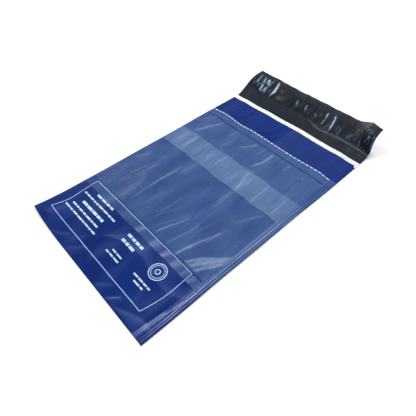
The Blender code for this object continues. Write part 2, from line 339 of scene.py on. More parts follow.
def litPanel(x, along):  # painted light: the printed panel is lightened above a soft edge, where it would catch the light
    low = waveOf(x, litEdge)
    left = np.interp(along, *zip(*litLeft))
    inside = smooth((along - low) / 2.5) * smooth((x - left) / 2.0) * smooth((94 - x) / 8)
    return inside * (0.35 + 0.65 * np.exp(-(((along - low) / 9) ** 2)))


# how strong each painted sheen of the print is: the lit panel, the creases, the weld lines and a broad
# cloud
sheenLevel = {"lit": 0.20, "crease": 0.14, "weld": 0.48, "cloud": 0.05, "plainFrom": 250.0}


def printSheen(x, along):  # painted sheen on the print, along its creases, folds and weld lines, which is little above the pocket
    plain = smooth((along - sheenLevel["plainFrom"]) / 15)
    sheen = strokes(x, along, paintedSheen)
    sheen += sheenLevel["lit"] * litPanel(x, along) * (1 - 0.35 * smooth((x - 5) / 30))
    sheen += sheenLevel["crease"] * ridges(x, along, panelCreases) * (1 - 0.95 * plain)
    welded = 0.35 + 0.65 * smooth((sheenLevel["plainFrom"] - along) / 80)
    sheen += sheenLevel["weld"] * weldSheen(x, along) * welded
    sheen += sheenLevel["cloud"] * ripples(x, along, 103, 16, 60, 0.5) * (1 - 0.9 * plain)
    return sheen


def frontHeight(x, along):
    fade = weldFade(x) * smooth(along / bag["fade"])
    rise = softFold(x, along, *bag["folds"]) + ridges(x, along, panelCreases)
    air = smooth(1 - abs(x) / bag["pillowHalf"]) * smooth(along / bag["pillowRun"])
    rise += bag["pillow"] * air
    rise += 0.05 * ripples(x, along, 3, 5.0, 15.0, 0.5) + 0.1
    return bag["rest"] + bag["panelGap"] + weldRib(x, along) + fade * np.maximum(rise, 0)


def groove(along, seal):  # a seal presses its film down
    return pocket["sealDepth"] * smooth(1 - abs(along - seal) / pocket["sealWidth"])


def lowerRise(x, along):
    loose = weldFade(x) * smooth(abs(along - pocket["lowerSeal"]) / bag["fade"])
    rise = softFold(x, along, *pocket["lowerFolds"]) + ridges(x, along, lowerCreases)
    rise += pocket["lowerLine"] * strokes(x, along, lowerStrokes)
    rise += 0.05 * ripples(x, along, 5, 3.0, 9.0, 0.25) + 0.08
    return loose * np.maximum(rise, 0)


def upperRise(x, along):
    loose = weldFade(x) * smooth((pocket["upperSeal"] - along) / bag["fade"])
    rise = softFold(x, along, *pocket["upperFolds"]) + ridges(x, along, upperCreases)
    rise += pocket["upperLine"] * strokes(x, along, upperStrokes)
    rise += ridges(x, along, lapRipples) * (0.6 + 0.4 * np.sin(x / 21.0))
    rise += 0.06 * ripples(x, along, 7, 3.0, 8.0, 0.22) + 0.1
    return loose * np.maximum(rise, 0)


def lowerHeight(x, along):
    lift = pocket["lift"] + lowerRise(x, along) - groove(along, pocket["lowerSeal"])
    return frontHeight(x, along) + lift


def upperHeight(x, along):
    over = 1 - smooth((along - pocket["lapEnd"] - 1.0) / pocket["lapRun"])
    lift = pocket["lift"] + over * (pocket["layer"] + lowerRise(x, along))
    lift += upperRise(x, along) - groove(along, pocket["upperSeal"])
    return frontHeight(x, along) + lift


# Crinkles that cross the flap from the mouth to its edge, then sharper ones of the liner alone
flapCreases = [
    (-58, 14, -61, 54, 2.2, 1.0, 0.8),
    (-84, 20, -80, 52, 3.0, 0.8, 1.0),
    (-20, 16, -14, 54, 3.0, 0.5, 0.8),
    (14, 12, 18, 52, 3.0, 0.5, -0.8),
    (34, 10, 38, 54, 2.6, 0.8, 0.8),
    (62, 16, 66, 54, 3.0, 0.5, 0.8),
    (84, 14, 86, 50, 2.4, 0.9, -0.8),
] + scattered(53, 18, (-94, 94, 6, 34), (10, 24), (1.6, 3.0), (0.1, 0.4), (0.1, 0.25))
linerCreases = [
    (-93, 24, -89, 44, 1.3, 0.9, 0.4),
    (-86, 22, -80, 40, 1.1, 1.1, 0.8),
    (-79, 26, -76, 42, 1.2, 0.9, -0.5),
    (-74, 20, -68, 36, 1.1, 1.0, 0.6),
    (-67, 22, -66, 34, 1.0, 0.7, 0.2),
    (-57.5, 15, -60.5, 48, 1.1, 1.5, 0.6),
    (-30, 22, -27, 36, 1.0, 0.5, 0.3),
    (-19, 20, -15, 36, 0.9, 0.8, 0.8),
    (-5, 20, 0, 34, 0.9, 0.8, 0.8),
    (13, 18, 17, 32, 1.0, 0.6, 0.4),
    (24, 17, 28, 32, 0.9, 0.7, 0.5),
    (33, 15, 37, 34, 1.0, 1.0, 0.5),
    (43, 20, 46, 34, 0.9, 0.6, 0.3),
    (58, 20, 63, 32, 1.0, 0.4, 0.4),
    (74, 20, 78, 35, 1.0, 0.8, 0.5),
    (82, 22, 84, 40, 0.9, 0.9, -0.4),
    (90, 24, 92, 42, 0.9, 0.8, 0.4),
]
linerGlints = [  # painted glints: the brightest places of the crinkled liner
    (0.34, 1.0, 1.3, (-87.4, 29), (-89.6, 38), (-92, 48)),
    (0.42, 1.1, 1.3, (-78.4, 32), (-80.6, 37), (-84.4, 46)),
    (0.40, 3.2, 3.4, (-70.8, 33), (-73.4, 38), (-77, 44.5)),
    (0.36, 2.4, 2.0, (-76.4, 21), (-77.4, 26), (-78.4, 32.5)),
    (0.34, 1.3, 1.6, (-68.6, 20), (-70.5, 26), (-73.4, 32)),
    (0.26, 0.9, 1.1, (-69.2, 37), (-70, 42), (-71.6, 48.5)),
    (0.44, 1.0, 1.1, (-59, 19), (-57.4, 27), (-57, 32), (-58.3, 38), (-61.2, 44), (-65.4, 58)),
    (0.60, 1.0, 0.9, (-57.4, 26), (-57, 32), (-58.3, 38), (-61.4, 45)),
    (0.09, 1.2, 1.8, (-43.6, 27), (-45, 36)),
    (0.06, 1.6, 2.6, (-39, 21), (-38, 43)),
    (0.16, 0.9, 1.2, (-18, 24), (-18.3, 30), (-20, 34.5), (-22, 38)),
    (0.28, 0.9, 0.9, (-18.6, 29), (-21, 38)),
    (0.05, 2.0, 2.4, (-12, 28), (-13, 41)),
    (0.40, 0.8, 0.9, (-3.4, 27.5), (-4.6, 32.5), (-6.4, 37.5)),
    (0.06, 1.2, 1.8, (4.4, 28), (3, 40)),
    (0.18, 0.8, 0.8, (18.9, 30), (17.6, 36)),
    (0.24, 1.2, 1.4, (28.1, 20), (27.4, 28), (26.4, 34), (24.6, 43)),
    (0.16, 1.3, 1.6, (26.8, 31), (24.8, 42)),
    (0.56, 0.9, 1.3, (41.0, 18.5), (40.3, 24), (39.2, 31), (38, 36), (34.6, 43)),
    (0.035, 7.0, 9.0, (33, 32), (37, 48)),
    (0.18, 0.8, 0.8, (48.3, 22), (47.7, 32)),
    (0.26, 0.9, 0.9, (52.8, 19), (51.6, 30.5)),
    (0.14, 3.0, 3.0, (65.5, 20), (68.5, 31)),
    (0.30, 0.8, 0.8, (83.9, 18.5), (83, 27)),
    (0.24, 0.6, 0.6, (87.6, 26), (90.5, 34), (92.4, 40)),
    (0.24, 0.6, 0.6, (92.3, 25), (94.2, 33), (92.8, 40)),
    (0.34, 0.6, 0.6, (97.8, 21), (98.4, 32), (96.9, 44)),
]
linerEdge = [  # bright lines along the flap, each place given as out and across
    (0.13, 1.0, 1.2, (21, 4), (15.6, 21), (14.4, 33.5), (15.6, 46), (17, 62), (16.4, 81), (15, 110)),
    (0.22, 1.1, 1.2, (29.2, 10.8), (29.8, 14.6)),
    (0.012, 0.8, 1.4, (16.4, -66), (15.6, -34)),
]
linerCreases += scattered(61, 44, (-98, -62, 16, 38), (5, 14), (0.8, 1.6), (0.2, 0.6), (0.1, 0.28))
linerCreases += scattered(67, 70, (-60, 96, 15, 38), (4, 14), (0.7, 1.3), (0.1, 0.38), (0.1, 0.5))


def flapSlope(x, share):  # left, middle and right slopes, blended across the flap
    half = bag["width"] / 2
    left = 1 - smooth((x + half) / flap["leftReach"])
    right = 1 - smooth((half - x) / flap["rightReach"])
    steps = np.linspace(0, 1, len(flap["middle"]))
    slope = left * np.interp(share, steps, flap["left"])
    slope += (1 - left - right) * np.interp(share, steps, flap["middle"])
    slope += right * np.interp(share, steps, flap["right"])
    return np.radians(slope)


def flapMiddle(x, out):  # follows the slope along the film, so the flap keeps its length
    y = np.full_like(x, bag["body"] / 2)
    z = np.full_like(x, bag["rest"])
    for k in range(flap["steps"]):
        slope = flapSlope(x, (k + 0.5) / flap["steps"] * out / bag["flap"])
        y += np.cos(slope) * out / flap["steps"]
        z += np.sin(slope) * out / flap["steps"]
    return np.stack([x, y, z], axis=-1)


def flapPoint(x, out, above):  # a place on the flap, above its middle along the normal
    probe = 0.5
    across = flapMiddle(x + probe, out) - flapMiddle(x - probe, out)
    outward = flapMiddle(x, out + probe) - flapMiddle(x, out - probe)
    normal = np.cross(across, outward)
    normal /= np.linalg.norm(normal, axis=-1, keepdims=True)
    rise = softFold(x, out, *flap["folds"]) + ridges(x, out, flapCreases)
    rise += 0.10 * ripples(x, out, 9, 4.0, 12.0, 0.4)
    rise *= smooth((bag["width"] / 2 - abs(x)) / 6 + 0.2) * smooth(out / 12)
    edge = 0.5 * np.sin(x / 6.1) * np.sin(x / 17.0) * smooth((out - 30) / 24)
    points = flapMiddle(x, out + edge)
    return points + normal * (rise + above)[:, None]


def newPiece(name, bm):
    mesh = bpy.data.meshes.new(name)
    bm.to_mesh(mesh)
    bm.free()
    piece = bpy.data.objects.new(name, mesh)
    bpy.context.scene.collection.objects.link(piece)
    return piece


def makeGrid(name, columns, rows):  # a flat grid, and the column and row of each of its points
    bm = bmesh.new()
    across = len(columns) - 1
    along = len(rows) - 1
    bmesh.ops.create_grid(bm, x_segments=across, y_segments=along, size=0.5)
    piece = newPiece(name, bm)
    flat = np.empty(3 * len(piece.data.vertices))
    piece.data.vertices.foreach_get("co", flat)
    place = flat.reshape(-1, 3)
    column = np.rint((place[:, 0] + 0.5) * across).astype(int)
    row = np.rint((place[:, 1] + 0.5) * along).astype(int)
    return piece, column, row


def setPoints(piece, points):
    piece.data.vertices.foreach_set("co", (points * mm).ravel())
    piece.data.update()


def paint(piece, name, values):
    layer = piece.data.attributes.new(name, "FLOAT", "POINT")
    layer.data.foreach_set("value", np.clip(values, 0, 1).astype(np.float32))


def thicken(piece, thickness, otherSide=0):  # gives a film its two faces, with sharp edges
    solid = piece.modifiers.new("film", "SOLIDIFY")
    solid.thickness = thickness * mm
    solid.offset = 0
    solid.material_offset = otherSide
    graph = bpy.context.evaluated_depsgraph_get()
    mesh = bpy.data.meshes.new_from_object(piece.evaluated_get(graph))
    piece.modifiers.clear()
    piece.data = mesh
    mesh.shade_smooth()
    mesh.set_sharp_from_angle(angle=np.radians(50))


def newMaterial(name):
    material = bpy.data.materials.new(name)
    material.use_nodes = True
    tree = material.node_tree
    return material, tree, tree.nodes["Principled BSDF"]


def addNode(tree, kind, values=None, **settings):
    node = tree.nodes.new(kind)
    for key, value in settings.items():
        setattr(node, key, value)
    for key, value in (values or {}).items():
        node.inputs[key].default_value = value
    return node


def attributeOf(tree, name):
    return addNode(tree, "ShaderNodeAttribute", attribute_name=name).outputs["Fac"]


def noiseOf(tree, scale, stretch=(1, 1, 1), detail=4.0):
    place = addNode(tree, "ShaderNodeTexCoord")
    turn = addNode(tree, "ShaderNodeMapping", {"Scale": stretch})
    noise = addNode(tree, "ShaderNodeTexNoise", {"Scale": scale, "Detail": detail, "Roughness": 0.55})
    tree.links.new(place.outputs["Object"], turn.inputs["Vector"])
    tree.links.new(turn.outputs["Vector"], noise.inputs["Vector"])
    return noise.outputs["Fac"]


def rangeOf(tree, value, low, high, fromLow=0.3, fromHigh=0.7):
    node = addNode(tree, "ShaderNodeMapRange")
    node.inputs["From Min"].default_value = fromLow
    node.inputs["From Max"].default_value = fromHigh
    node.inputs["To Min"].default_value = low
    node.inputs["To Max"].default_value = high
    tree.links.new(value, node.inputs["Value"])
    return node.outputs["Result"]


def colorBetween(tree, value, low, high):
    node = addNode(tree, "ShaderNodeMix", data_type="RGBA")
    for name, color in (("A", low), ("B", high)):
        if isinstance(color, bpy.types.NodeSocket):
            tree.links.new(color, node.inputs[name])
        else:
            node.inputs[name].default_value = (*color, 1)
    tree.links.new(value, node.inputs["Factor"])
    return node.outputs["Result"]


def bumpOf(tree, shader, value, strength, depth):
    node = addNode(tree, "ShaderNodeBump", {"Strength": strength, "Distance": depth * mm})
    tree.links.new(value, node.inputs["Height"])
    tree.links.new(node.outputs["Normal"], shader.inputs["Normal"])


def productOf(tree, first, second):
    node = addNode(tree, "ShaderNodeMath", operation="MULTIPLY")
    tree.links.new(first, node.inputs[0])
    tree.links.new(second, node.inputs[1])
    return node.outputs["Value"]


def rayIs(tree, *kinds):  # 1 for a ray of any of these kinds
    path = addNode(tree, "ShaderNodeLightPath")
    found = path.outputs[kinds[0]]
    for kind in kinds[1:]:
        either = addNode(tree, "ShaderNodeMath", operation="MAXIMUM")
        tree.links.new(found, either.inputs[0])
        tree.links.new(path.outputs[kind], either.inputs[1])
        found = either.outputs["Value"]
    return found


def setGloss(shader, look):
    shader.inputs["Roughness"].default_value = look["gloss"]
    shader.inputs["Specular IOR Level"].default_value = look["specular"]


def mottledGloss(tree, shader, look, scale):
    noise = noiseOf(tree, scale)
    low, high = look["glossRange"]
    tree.links.new(rangeOf(tree, noise, low, high), shader.inputs["Roughness"])
    shader.inputs["Specular IOR Level"].default_value = look["specular"]


printedLook = {
    "deep": (0.0012, 0.017, 0.140),
    "bright": (0.0025, 0.026, 0.200),
    # the colour of the painted sheen, then of its painted silver highlight
    "paintedSheen": (0.19, 0.26, 0.56),
    "silverSheen": (0.36, 0.43, 0.58),
    "silverSheenRange": (0.28, 0.75),  # the painted sheen at which the painted silver highlight starts, and at which it is full
    "shade": 0.87,  # the blue at the bottom fold, as a share of its full brightness
    "shadeRange": (-0.14, 0.02),  # metres from the bag's middle
    "glossRange": (0.27, 0.40),
    "specular": 0.08,
}


def printedMaterial():
    material, tree, shader = newMaterial("printedFilm")
    mottle = rangeOf(tree, noiseOf(tree, 38.0, (1, 0.5, 1)), 0.0, 1.0)
    # this attribute holds the bag film's painted sheen: it lightens the blue, then turns it to a
    # painted silver highlight
    sheen = attributeOf(tree, "hazeStainAndSheen")
    blue = colorBetween(tree, mottle, printedLook["deep"], printedLook["bright"])
    place = addNode(tree, "ShaderNodeTexCoord")
    parts = addNode(tree, "ShaderNodeSeparateXYZ")
    tree.links.new(place.outputs["Object"], parts.inputs["Vector"])
    shade = rangeOf(tree, parts.outputs["Y"], printedLook["shade"], 1.0, *printedLook["shadeRange"])
    darker = addNode(tree, "ShaderNodeVectorMath", operation="SCALE")
    tree.links.new(blue, darker.inputs["Vector"])
    tree.links.new(shade, darker.inputs["Scale"])
    tone = colorBetween(tree, sheen, darker.outputs["Vector"], printedLook["paintedSheen"])
    silverSheen = rangeOf(tree, sheen, 0.0, 1.0, *printedLook["silverSheenRange"])
    tree.links.new(colorBetween(tree, silverSheen, tone, printedLook["silverSheen"]), shader.inputs["Base Color"])
    mottledGloss(tree, shader, printedLook, 120.0)
    bumpOf(tree, shader, noiseOf(tree, 240.0, (1, 0.35, 1), 2.0), 0.10, 0.10)
    return material


blackLook = {
    "deep": (0.008, 0.014, 0.024),
    "dusty": (0.018, 0.022, 0.031),
    "glossRange": (0.28, 0.46),
    "specular": 0.10,
}


def blackMaterial():
    material, tree, shader = newMaterial("blackFilm")
    dust = rangeOf(tree, noiseOf(tree, 46.0, (1.6, 0.6, 1)), 0.0, 1.0)
    tone = colorBetween(tree, dust, blackLook["deep"], blackLook["dusty"])
    tree.links.new(tone, shader.inputs["Base Color"])
    mottledGloss(tree, shader, blackLook, 90.0)
    bumpOf(tree, shader, noiseOf(tree, 220.0, (1, 0.4, 1), 3.0), 0.18, 0.15)
    return material


whiteLook = {"dull": (0.78, 0.86, 0.90), "bright": (0.88, 0.93, 0.95), "gloss": 0.38, "specular": 0.5}


def whiteMaterial():
    material, tree, shader = newMaterial("whiteFilm")
    mottle = rangeOf(tree, noiseOf(tree, 60.0), 0.0, 1.0)
    tone = colorBetween(tree, mottle, whiteLook["dull"], whiteLook["bright"])
    tree.links.new(tone, shader.inputs["Base Color"])
    setGloss(shader, whiteLook)
    bumpOf(tree, shader, noiseOf(tree, 240.0, (1, 0.4, 1), 3.0), 0.12, 0.1)
    return material


clearLook = {
    "tint": (0.158, 0.318, 0.590),
    "lavender": (0.185, 0.312, 0.585),
    "violet": (0.265, 0.290, 0.560),
    "milkySheen": (0.255, 0.385, 0.680),
    "milkySheenRange": (0.18, 0.52),  # the haze and painted sheen at which the milky sheen starts, and at which it is full
    "gloss": 0.25,
    "specular": 0.22,
}


def clearMaterial():
    material, tree, shader = newMaterial("clearFilm")
    tone = rangeOf(tree, noiseOf(tree, 22.0, (1, 0.6, 1)), 0.0, 1.0, 0.4, 0.75)
    # this attribute holds the film's haze with painted highlights over its creases, strokes, glare fan
    # and skirt patches
    hazeStainAndSheen = attributeOf(tree, "hazeStainAndSheen")
    milkySheen = rangeOf(tree, hazeStainAndSheen, 0.0, 1.0, *clearLook["milkySheenRange"])
    tint = colorBetween(tree, tone, clearLook["tint"], clearLook["lavender"])
    tint = colorBetween(tree, milkySheen, tint, clearLook["milkySheen"])
    tint = colorBetween(tree, attributeOf(tree, "violet"), tint, clearLook["violet"])
    tree.links.new(tint, shader.inputs["Base Color"])
    streak = rangeOf(tree, noiseOf(tree, 70.0, (3.2, 0.45, 1), 5.0), 0.72, 1.28)
    tree.links.new(productOf(tree, hazeStainAndSheen, streak), shader.inputs["Alpha"])
    setGloss(shader, clearLook)
    bumpOf(tree, shader, noiseOf(tree, 200.0, (2.0, 0.3, 1), 1.0), 0.12, 0.12)
    return material


linerLook = {
    "dim": (0.075, 0.105, 0.150),
    "tint": (0.35, 0.48, 0.74),
    "tintRange": (0.08, 0.60),  # the painted shine from dim to tint, then from tint to bright, the colour of the painted glints
    "bright": (0.86, 0.93, 0.97),
    "brightRange": (0.50, 1.0),
    "warm": (0.105, 0.092, 0.090),
    "gloss": 0.30,
    "specular": 0.25,
}


def linerMaterial():
    material, tree, shader = newMaterial("linerFilm")
    # this attribute holds the liner's painted glints and shine
    hazeStainAndSheen = attributeOf(tree, "hazeStainAndSheen")
    half = rangeOf(tree, hazeStainAndSheen, 0.0, 1.0, *linerLook["tintRange"])
    lit = rangeOf(tree, hazeStainAndSheen, 0.0, 1.0, *linerLook["brightRange"])
    tint = colorBetween(tree, half, linerLook["dim"], linerLook["tint"])
    tint = colorBetween(tree, lit, tint, linerLook["bright"])
    tint = colorBetween(tree, attributeOf(tree, "warm"), tint, linerLook["warm"])
    tree.links.new(tint, shader.inputs["Base Color"])
    streak = rangeOf(tree, noiseOf(tree, 160.0, (1.5, 0.6, 1), 2.0), 0.7, 1.3)
    tree.links.new(productOf(tree, hazeStainAndSheen, streak), shader.inputs["Alpha"])
    setGloss(shader, linerLook)
    bumpOf(tree, shader, noiseOf(tree, 260.0, (1.6, 0.7, 1), 1.0), 0.10, 0.15)
    return material


adhesiveLook = {
    "deep": (0.004, 0.008, 0.015),
    "dusty": (0.008, 0.012, 0.020),
    "olive": (0.075, 0.072, 0.034),
    "gloss": 0.42,
    "specular": 0.08,
}


def adhesiveMaterial():
    material, tree, shader = newMaterial("adhesive")
    mottle = rangeOf(tree, noiseOf(tree, 42.0, (1, 1, 1), 2.0), 0.0, 1.0)
    black = colorBetween(tree, mottle, adhesiveLook["deep"], adhesiveLook["dusty"])
    tone = colorBetween(tree, attributeOf(tree, "hazeStainAndSheen"), black, adhesiveLook["olive"])
    tree.links.new(tone, shader.inputs["Base Color"])
    setGloss(shader, adhesiveLook)
    bumpOf(tree, shader, noiseOf(tree, 140.0, (1, 1, 1), 1.0), 0.10, 0.15)
    return material


inkLook = {  # two shades of each ink
    "whiteInk": ((0.46, 0.66, 0.86), (0.62, 0.80, 0.93)),
    "dashInk": ((0.66, 0.82, 0.94), (0.80, 0.90, 0.97)),
    "frameInk": ((0.26, 0.40, 0.76), (0.40, 0.55, 0.86)),
    "gloss": 0.4,
    "specular": 0.5,
}


def inkMaterial(name):
    material, tree, shader = newMaterial(name)
    mottle = rangeOf(tree, noiseOf(tree, 300.0), 0.0, 1.0)
    tree.links.new(colorBetween(tree, mottle, *inkLook[name]), shader.inputs["Base Color"])
    setGloss(shader, inkLook)
    return material


def filmColumns(cell):
    half = bag["width"] / 2
    inner = half - bag["weld"]
    fine = stations([inner - 5, half], bag["weldCell"])
    return stations([-half, -inner - bag["weld"] / 2, -inner, *fine], cell)


def paintMargin(piece, slot):  # the front panel stays white beside the mouth
    end, endDepth = bag["whiteEnd"]
    mouth = bag["body"] / 2
    aboveBack = bag["rest"] + bag["panelGap"] / 2
    for face in piece.data.polygons:
        x, y, z = face.center / mm
        depth = endDepth if x > end else bag["whiteMargin"]
        if mouth - depth < y < mouth and z > aboveBack:
            face.material_index = slot


def makeBagFilm(materials):  # one grid: flap, back panel, bottom bend and front panel
    columns = filmColumns(bag["cell"])
    start = bag["bendStart"]
    edges = [pocket["upperSeal"], pocket["lowerSeal"]]
    edges += [bag["body"] - bag["whiteMargin"], bag["body"] - bag["whiteEnd"][1]]
    front = stations([start, bag["body"], *edges], bag["cell"])
    back = stations([start, 20, corner["along"], bag["body"]], bag["backCell"])[:-1]
    out = stations([0, bag["flap"]], flap["row"])
    bend = np.linspace(0, np.pi, bag["bendSteps"] + 1)[1:-1]
    kinds = np.repeat([0, 1, 2, 3], [len(out), len(back), len(bend), len(front)])
    values = np.concatenate([out[::-1], back[::-1], bend, front])
    piece, column, row = makeGrid("bagFilm", columns, values)
    x = columns[column]
    kind = kinds[row]
    at = values[row]
    points = np.zeros((len(x), 3))
    on = kind == 0
    points[on] = flapPoint(x[on], at[on], np.zeros(on.sum()))
    on = kind == 1
    points[on] = lay(x[on], at[on], np.full(on.sum(), bag["rest"]))
    on = kind == 2
    radius = bag["panelGap"] / 2
    rise = bag["rest"] + radius * (1 - np.cos(at[on]))
    points[on] = lay(x[on], start - radius * np.sin(at[on]), rise)
    on = kind == 3
    points[on] = lay(x[on], at[on], frontHeight(x[on], at[on]))
    setPoints(piece, points)
    # the front panel's print gets its painted sheen through this attribute
    paint(piece, "hazeStainAndSheen", np.where(on, printSheen(x, at), 0))
    for material in materials:
        piece.data.materials.append(material)
    paintMargin(piece, 2)
    thicken(piece, bag["film"], 1)
    return piece


def makeClearFilm(name, keys, height, shift, hazeStainAndSheen, material):
    columns = filmColumns(pocket["cell"])
    rows = stations(keys, pocket["cell"])
    piece, column, row = makeGrid(name, columns, rows)
    x = columns[column]
    along = rows[row]
    moved = along + shift(x, along)
    setPoints(piece, lay(x, moved, height(x, moved)))
    paint(piece, "hazeStainAndSheen", pocket["veil"] * hazeStainAndSheen(x, along))
    paint(piece, "violet", violetTint(x, along))
    piece.data.materials.append(material)
    thicken(piece, pocket["film"])
    return piece


def sealKeys(seal):  # the rows along a seal
    return [seal + step for half in (pocket["sealWidth"], pocket["sealLine"]) for step in (-half, half)]


def lowerShift(x, along):  # the films' free edges wander
    return waveOf(x, pocket["lowerWave"]) * smooth((along - 150) / 55)


def upperShift(x, along):
    top = np.interp(along, (pocket["lapEnd"], pocket["upperSeal"], pocket["upperEnd"]), (0, 0.5, 1))
    low = smooth((pocket["lapEnd"] - along) / 30)
    return waveOf(x, pocket["upperWave"]) * top + waveOf(x, pocket["lapWave"]) * low


def wetLine(along, seal):  # the film lies tight on a seal, so no haze shows there
    return 1 - smooth(1.6 - abs(along - seal) / pocket["sealLine"])


def weldHazeAndSheen(x, along, hazeStainAndSheen):  # past the inner pressed line the haze gives way to the painted highlights and shade of the weld lines
    past = smooth((x - 89.0) / 1.2)
    return hazeStainAndSheen * (1 - 0.55 * past) + 0.12 * weldSheen(x, along)


skirtGlow = (  # place across, width and level of the painted highlight patches of the loose skirt
    (2.5, 3.4, 0.9),
    (27.0, 4.0, 0.9),
    (44.5, 3.0, 1.0),
    (59.5, 4.0, 0.9),
    (72.0, 2.5, 0.4),
    (82.0, 2.5, 0.6),
    (-24.0, 5.0, 0.2),
    (-55.0, 8.0, 0.15),
)


def skirtPatches(x, along):
    total = np.zeros_like(x)
    for place, width, level in skirtGlow:
        total += level * np.exp(-(((x - place - 0.25 * (along - 69)) / width) ** 2))
    return total * smooth((pocket["lowerSeal"] - along) / 1.5)


fanEdges = {  # along, then across
    "left": ((77, 61), (93, 70.5), (103, 80.5), (114, 89.5)),
    "right": ((77, 79), (94, 89), (104, 94)),
}


def glareFan(x, along):  # painted glare with haze: the milky fan of folds at the pocket's lower right corner
    near = np.interp(along, *zip(*fanEdges["left"]))
    far = np.interp(along, *zip(*fanEdges["right"]))
    inside = smooth((x - near) / 1.6) * smooth((far - x) / 3.0) * smooth((along - 76) / 3)
    share = (x - near) / (far - near)
    gaps = 0.75 * np.exp(-(((share - 0.62) / 0.13) ** 2)) * smooth((92 - along) / 10)
    gaps += 0.60 * np.exp(-(((share - 0.27) / 0.08) ** 2)) * smooth((87 - along) / 8)
    return inside * (1 - gaps) * (0.9 + 0.22 * np.sin(15 * share + 0.08 * along))


violet = {"skirt": 0.8, "glareFan": 0.35, "patch": 0.3, "mottle": 0.06}  # where the haze turns violet: over the painted highlights of the skirt patches, the glare fan and a crease patch, and at random


def violetTint(x, along):
    tint = violet["skirt"] * skirtPatches(x, along) + violet["glareFan"] * glareFan(x, along)
    tint += violet["patch"] * spot(x, along, (-52, 102), (9, 22))
    return tint + violet["mottle"] * ripples(x, along, 109, 20, 70, 0.8)


milk = {  # how hazy each place of the clear films is, with painted highlights over the creases, strokes, glare fan, skirt patches and lap ripples
    "lower": 0.055,
    "lowerSide": 0.004,  # added from the middle to the right side, and taken to the left
    "lowerCloud": 0.009,
    "lowerCreases": 0.22,
    "lowerStrokes": 0.13,
    "glareFan": 0.16,
    "skirt": -0.008,  # the skirt is a little clearer between its patches
    "skirtPatches": 0.13,
    "upper": 0.071,
    "upperSide": 0.005,
    "upperCloud": 0.010,
    "upperCreases": 0.20,
    "upperStrokes": 0.17,
    "upperEnd": 0.14,
    "lap": 0.042,
    "lapSide": 0.004,
    "lapGrain": 0.012,
    "lapRipples": 0.20,
    "lapEdge": 0.12,
}


def creaseHighlight(x, along, creases):  # painted highlights along the creases, a little clearer between them
    return np.maximum(ridges(x, along, creases) - 0.08, -0.04)


def lowerHazeAndSheen(x, along):
    hazeStainAndSheen = milk["lower"] + milk["lowerSide"] * x / 100
    hazeStainAndSheen += milk["lowerCloud"] * ripples(x, along, 71, 20, 60, 0.6)
    hazeStainAndSheen += milk["lowerCreases"] * creaseHighlight(x, along, lowerCreases)
    hazeStainAndSheen += milk["lowerStrokes"] * strokes(x, along, lowerStrokes) + milk["glareFan"] * glareFan(x, along)
    hazeStainAndSheen += milk["skirtPatches"] * skirtPatches(x, along)
    hazeStainAndSheen += milk["skirt"] * smooth((pocket["lowerSeal"] - along) / 1.5)
    return weldHazeAndSheen(x, along, hazeStainAndSheen * wetLine(along, pocket["lowerSeal"]))


def upperHazeAndSheen(x, along):
    hazeStainAndSheen = milk["upper"] + milk["upperSide"] * x / 100
    hazeStainAndSheen += milk["upperCloud"] * ripples(x, along, 83, 20, 60, 0.6)
    hazeStainAndSheen += milk["upperCreases"] * creaseHighlight(x, along, upperCreases)
    hazeStainAndSheen += milk["upperStrokes"] * strokes(x, along, upperStrokes)
    lap = smooth((pocket["lapEnd"] + 0.6 - along) / 0.9)
    grain = ripples(x, along, 89, 3, 7, 0.10) * smooth((60 - x) / 60)
    hazeStainAndSheen += lap * (milk["lap"] + milk["lapSide"] * x / 100 + milk["lapGrain"] * grain)
    hazeStainAndSheen += lap * milk["lapRipples"] * ridges(x, along, lapRipples)
    hazeStainAndSheen += milk["lapEdge"] * smooth(1 - (along - pocket["lapStart"]) / 1.0)
    hazeStainAndSheen += milk["upperEnd"] * smooth(1 - (pocket["upperEnd"] - along) / 1.8)
    return weldHazeAndSheen(x, along, hazeStainAndSheen * wetLine(along, pocket["upperSeal"]))


def makeFlapLayer(name, layer, above, hazeStainAndSheen, material):  # layer is its word in the flap's sizes
    half = bag["width"] / 2
    columns = stations([-half, half], flap["cell"])
    rows = stations([flap[layer + "Start"], flap[layer + "End"]], flap["cell"])
    piece, column, row = makeGrid(name, columns, rows)
    x = columns[column]
    out = rows[row]
    setPoints(piece, flapPoint(x, out, above(x, out)))
    paint(piece, "hazeStainAndSheen", hazeStainAndSheen(x, out))
    paint(piece, "warm", strokes(out, x, linerEdge) * 8)
    piece.data.materials.append(material)
    thicken(piece, flap[layer + "Film"])
    return piece


def adhesiveRise(x, out):
    return np.full_like(x, flap["adhesiveLift"])


def adhesiveStain(x, out):  # olive stains in the adhesive
    stain = 0.7 * spot(x, out, (-49.5, 37), (4.5, 4.0)) + spot(x, out, (-46, 26.5), (5.5, 3.4))
    return stain + 0.05 * ripples(x, out, 127, 9, 25, 1.0)


def insideLiner(out):  # how far a place is from the nearer edge of the liner
    return np.minimum(out - flap["linerStart"], flap["linerEnd"] - out)


def linerRise(x, out):
    rise = ridges(x, out, linerCreases) + 0.10 * ripples(x, out, 97, 2.5, 7.0, 0.5) + 0.12
    return flap["linerLift"] + np.maximum(rise, 0) * smooth(0.35 + insideLiner(out) / 6)


shine = {"film": 0.004, "creases": 0.15, "glints": 1.9, "edge": 4, "rim": 0.05}  # of the liner


# painted glints and shine of the crinkled liner, over a faint haze of the film
def linerShine(x, out):
    hazeStainAndSheen = shine["film"] + shine["creases"] * np.maximum(ridges(x, out, linerCreases) - 0.15, 0)
    hazeStainAndSheen += strokes(x, out, linerGlints) * (0.75 + 0.25 * ripples(x, out, 107, 2.5, 6.0, 0.8))
    rim = shine["rim"] * smooth(1 - insideLiner(out) / 0.9)
    return shine["glints"] * hazeStainAndSheen + shine["edge"] * strokes(out, x, linerEdge) + rim


